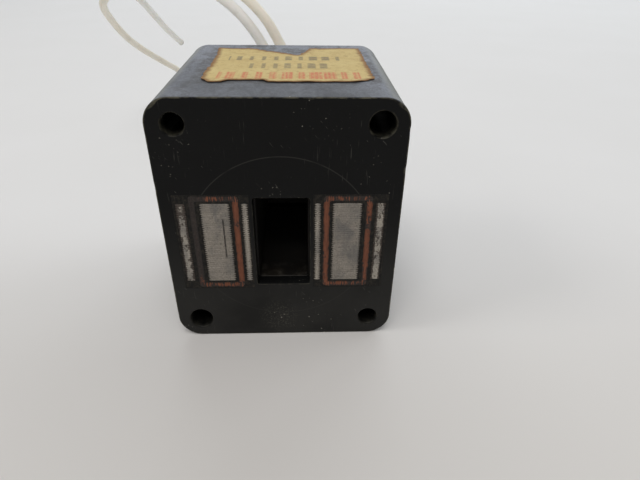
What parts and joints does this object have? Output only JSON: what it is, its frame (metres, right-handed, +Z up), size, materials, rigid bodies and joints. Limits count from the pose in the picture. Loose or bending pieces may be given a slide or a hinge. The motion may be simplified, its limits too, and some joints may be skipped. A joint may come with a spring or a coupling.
{
  "type": "encapsulated solenoid coil",
  "caption": "Black moulded solenoid field coil: laminated pole faces with copper shading rings beside a blind plunger passage, corner screw holes, paper label and flexible leads at the back.",
  "frame": {"origin": "middle of the block's underside, on the surface that it stands on", "axes": "+Z up, +X to the right when looking at the pole faces, +Y from the pole faces to the back, where the leads leave"},
  "size_m": [0.1037, 0.1966, 0.0744],
  "materials": {
    "black_resin": "satin, finely scratched, with pale chipped edges",
    "potting_resin": "semi-gloss, poured",
    "silicon_steel": "ground edges, pitted and rust-stained",
    "copper": "dull, tarnished, partly blackened",
    "enamelled_wire": "enamelled",
    "bobbin_nylon": "moulded",
    "cloth_tape": "varnished cloth",
    "rivet_steel": "plated",
    "tinned_copper": "tinned and crimped",
    "sleeving": "matte",
    "lead_jacket": "off-white, slightly translucent",
    "label_paper": "yellowed paper, worn edges"
  },
  "bodies": {
    "root": {"moulded_case": "black_resin", "potting": "potting_resin", "lamination_01": "silicon_steel", "lamination_02": "silicon_steel", "lamination_03": "silicon_steel", "lamination_04": "silicon_steel", "lamination_05": "silicon_steel", "lamination_06": "silicon_steel", "lamination_07": "silicon_steel", "lamination_08": "silicon_steel", "lamination_09": "silicon_steel", "lamination_10": "silicon_steel", "lamination_11": "silicon_steel", "lamination_12": "silicon_steel", "lamination_13": "silicon_steel", "lamination_14": "silicon_steel", "lamination_15": "silicon_steel", "lamination_16": "silicon_steel", "lamination_17": "silicon_steel", "lamination_18": "silicon_steel", "lamination_19": "silicon_steel", "lamination_20": "silicon_steel", "lamination_21": "silicon_steel", "lamination_22": "silicon_steel", "lamination_23": "silicon_steel", "lamination_24": "silicon_steel", "lamination_25": "silicon_steel", "lamination_26": "silicon_steel", "lamination_27": "silicon_steel", "lamination_28": "silicon_steel", "lamination_29": "silicon_steel", "lamination_30": "silicon_steel", "lamination_31": "silicon_steel", "lamination_32": "silicon_steel", "lamination_33": "silicon_steel", "lamination_34": "silicon_steel", "lamination_35": "silicon_steel", "lamination_36": "silicon_steel", "lamination_37": "silicon_steel", "stack_rivet_front_left": "rivet_steel", "stack_rivet_back_left": "rivet_steel", "stack_rivet_front_right": "rivet_steel", "stack_rivet_back_right": "rivet_steel", "shading_ring_left": "copper", "shading_ring_right": "copper", "bobbin": "bobbin_nylon", "coil_winding": "enamelled_wire", "coil_wrap": "cloth_tape", "joint_pad": "cloth_tape", "lead_joint_left": "tinned_copper", "joint_sleeve_left": "sleeving", "lead_boot_left": "sleeving", "lead_left": "lead_jacket", "lead_joint_right": "tinned_copper", "joint_sleeve_right": "sleeving", "lead_boot_right": "sleeving", "lead_right": "lead_jacket", "label": "label_paper"}
  },
  "joints": []
}
